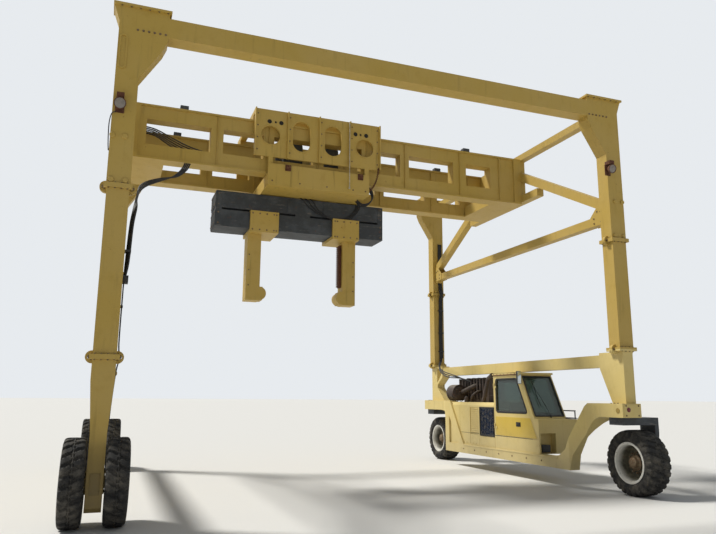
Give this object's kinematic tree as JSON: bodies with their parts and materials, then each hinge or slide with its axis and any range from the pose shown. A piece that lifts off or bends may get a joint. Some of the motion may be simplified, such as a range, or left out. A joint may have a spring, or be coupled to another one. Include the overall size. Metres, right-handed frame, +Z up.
{
  "type": "straddle carrier",
  "caption": "Mobile gantry straddle carrier with trolley girders, clamping spreader, low cab and steered wheels on one side.",
  "frame": {"origin": "ground level at the middle between the four leg centres", "axes": "+X across the machine to the steered side, -Y to the front, +Z up"},
  "size_m": [9.333, 8.01, 7.018],
  "materials": {
    "frame_paint": "satin",
    "cab_paint": "satin",
    "slate_paint": "matte",
    "rim_paint": "satin",
    "tyre": "matte",
    "window_glass": "gloss",
    "grille_paint": "satin",
    "black_trim": "matte",
    "rope_steel": "satin"
  },
  "bodies": {
    "frame": {"heads": "frame_paint", "upper_legs": "frame_paint", "lower_legs": "frame_paint", "cross_beams": "frame_paint", "truss_left": "frame_paint", "truss_right": "frame_paint", "girder_front": "frame_paint", "girder_rear": "frame_paint", "girder_ends": "frame_paint", "buffer_stops": "slate_paint", "drive_legs": "frame_paint", "feet_right": "frame_paint", "low_frame": "frame_paint", "side_beams": "frame_paint", "cab_shell": "cab_paint", "cab_roof": "cab_paint", "cab_front": "cab_paint", "cab_trim": "slate_paint", "cab_glass": "window_glass", "seat": "black_trim", "steering_column": "black_trim", "engine_cover": "cab_paint", "radiator_grille": "grille_paint", "engine": "slate_paint", "exhaust": "slate_paint"},
    "cab_door": {"cab_door": "cab_paint", "door_glass": "window_glass"},
    "wheels_front_left": {"dual_tyres_front": "tyre", "dual_rims_front": "rim_paint"},
    "wheels_rear_left": {"dual_tyres_rear": "tyre", "dual_rims_rear": "rim_paint"},
    "knuckle_front": {"knuckle_front": "slate_paint"},
    "wheel_front_right": {"tyre_front_right": "tyre", "rim_front_right": "rim_paint"},
    "knuckle_rear": {"knuckle_rear": "slate_paint"},
    "wheel_rear_right": {"tyre_rear_right": "tyre", "rim_rear_right": "rim_paint"},
    "trolley": {"trolley_frame": "frame_paint", "trolley_rollers": "slate_paint", "trolley_deck": "frame_paint", "hoist_drums": "slate_paint", "hoist_ropes": "rope_steel"},
    "spreader": {"spreader": "slate_paint"},
    "clamp_arm_left": {"clamp_arm_left": "frame_paint"},
    "clamp_arm_right": {"clamp_arm_right": "frame_paint"}
  },
  "joints": [
    {"name": "roll_front_left", "type": "hinge", "parent": "frame", "child": "wheels_front_left", "pos_m": [-4.175, -3.465, 0.54], "axis": [1, 0, 0], "continuous": true},
    {"name": "roll_rear_left", "type": "hinge", "parent": "frame", "child": "wheels_rear_left", "pos_m": [-4.175, 3.465, 0.54], "axis": [1, 0, 0], "continuous": true},
    {"name": "steer_front_right", "type": "hinge", "parent": "frame", "child": "knuckle_front", "pos_m": [4.12, -3.465, 1.3], "axis": [0, 0, 1], "range_deg": [-35, 35]},
    {"name": "steer_rear_right", "type": "hinge", "parent": "frame", "child": "knuckle_rear", "pos_m": [4.12, 3.465, 1.3], "axis": [0, 0, 1], "range_deg": [-35, 35]},
    {"name": "roll_front_right", "type": "hinge", "parent": "knuckle_front", "child": "wheel_front_right", "pos_m": [4.36, -3.465, 0.54], "axis": [1, 0, 0], "continuous": true},
    {"name": "roll_rear_right", "type": "hinge", "parent": "knuckle_rear", "child": "wheel_rear_right", "pos_m": [4.36, 3.465, 0.54], "axis": [1, 0, 0], "continuous": true},
    {"name": "cab_door_hinge", "type": "hinge", "parent": "frame", "child": "cab_door", "pos_m": [3.784, 0.048, 1.4], "axis": [0, 0, -1], "range_deg": [0, 80]},
    {"name": "trolley_travel", "type": "slide", "parent": "frame", "child": "trolley", "axis": [1, 0, 0], "range_m": [-1.2, 2.01]},
    {"name": "hoist", "type": "slide", "parent": "trolley", "child": "spreader", "axis": [0, 0, 1], "range_m": [-3.2, 0], "deforming": ["hoist_ropes"]},
    {"name": "clamp_left", "type": "slide", "parent": "spreader", "child": "clamp_arm_left", "axis": [1, 0, 0], "range_m": [-0.54, 0.34]},
    {"name": "clamp_right", "type": "slide", "parent": "spreader", "child": "clamp_arm_right", "axis": [1, 0, 0], "range_m": [-0.45, 0.42]}
  ]
}
